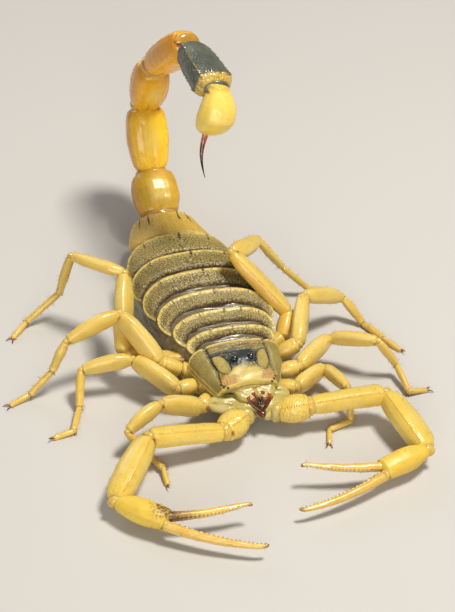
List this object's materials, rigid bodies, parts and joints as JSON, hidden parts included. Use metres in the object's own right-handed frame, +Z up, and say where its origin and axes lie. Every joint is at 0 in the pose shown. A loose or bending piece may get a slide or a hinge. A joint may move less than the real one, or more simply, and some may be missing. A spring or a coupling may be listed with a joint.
{
  "type": "desert scorpion",
  "caption": "Life-size still model of a desert scorpion standing with claws spread and its tail arched over its back, for display and natural history scenes.",
  "frame": {"origin": "on the floor, under the middle of the whole model's bounding box", "axes": "+Z up; the head looks along -Y and the tail is at +Y, so the animal's left side is at +X"},
  "size_m": [0.0538, 0.0764, 0.034],
  "materials": {
    "sting_brown": "glossy red-brown horn",
    "back_olive": "granular olive shell plates",
    "palp_yellow": "satin yellow shell",
    "belly_tan": "satin tan shell",
    "eye_black": "glossy black lens",
    "leg_yellow": "satin translucent straw-yellow shell",
    "tail_amber": "satin amber shell with granular keels",
    "tail_dark": "granular olive-black shell",
    "venom_yellow": "glossy yellow shell"
  },
  "bodies": {
    "root": {"aculeus": "sting_brown", "carapace": "back_olive", "chelicera_left": "palp_yellow", "chelicera_right": "palp_yellow", "coxosternum": "belly_tan", "eye_median_left": "eye_black", "eye_median_right": "eye_black", "leg_left_1_femur": "leg_yellow", "leg_left_1_foot": "leg_yellow", "leg_left_1_patella": "leg_yellow", "leg_left_2_femur": "leg_yellow", "leg_left_2_foot": "leg_yellow", "leg_left_2_patella": "leg_yellow", "leg_left_3_femur": "leg_yellow", "leg_left_3_foot": "leg_yellow", "leg_left_3_patella": "leg_yellow", "leg_left_4_femur": "leg_yellow", "leg_left_4_foot": "leg_yellow", "leg_left_4_patella": "leg_yellow", "leg_right_1_femur": "leg_yellow", "leg_right_1_foot": "leg_yellow", "leg_right_1_patella": "leg_yellow", "leg_right_2_femur": "leg_yellow", "leg_right_2_foot": "leg_yellow", "leg_right_2_patella": "leg_yellow", "leg_right_3_femur": "leg_yellow", "leg_right_3_foot": "leg_yellow", "leg_right_3_patella": "leg_yellow", "leg_right_4_femur": "leg_yellow", "leg_right_4_foot": "leg_yellow", "leg_right_4_patella": "leg_yellow", "mesosoma_1": "back_olive", "mesosoma_2": "back_olive", "mesosoma_3": "back_olive", "mesosoma_4": "back_olive", "mesosoma_5": "back_olive", "mesosoma_6": "back_olive", "mesosoma_7": "back_olive", "metasoma_1": "tail_amber", "metasoma_2": "tail_amber", "metasoma_3": "tail_amber", "metasoma_4": "tail_amber", "metasoma_5": "tail_dark", "palp_left_chela": "palp_yellow", "palp_left_femur": "palp_yellow", "palp_left_movable_finger": "palp_yellow", "palp_left_patella": "palp_yellow", "palp_left_trochanter": "palp_yellow", "palp_right_chela": "palp_yellow", "palp_right_femur": "palp_yellow", "palp_right_movable_finger": "palp_yellow", "palp_right_patella": "palp_yellow", "palp_right_trochanter": "palp_yellow", "pectine_left": "belly_tan", "pectine_right": "belly_tan", "telson_vesicle": "venom_yellow"}
  },
  "joints": []
}
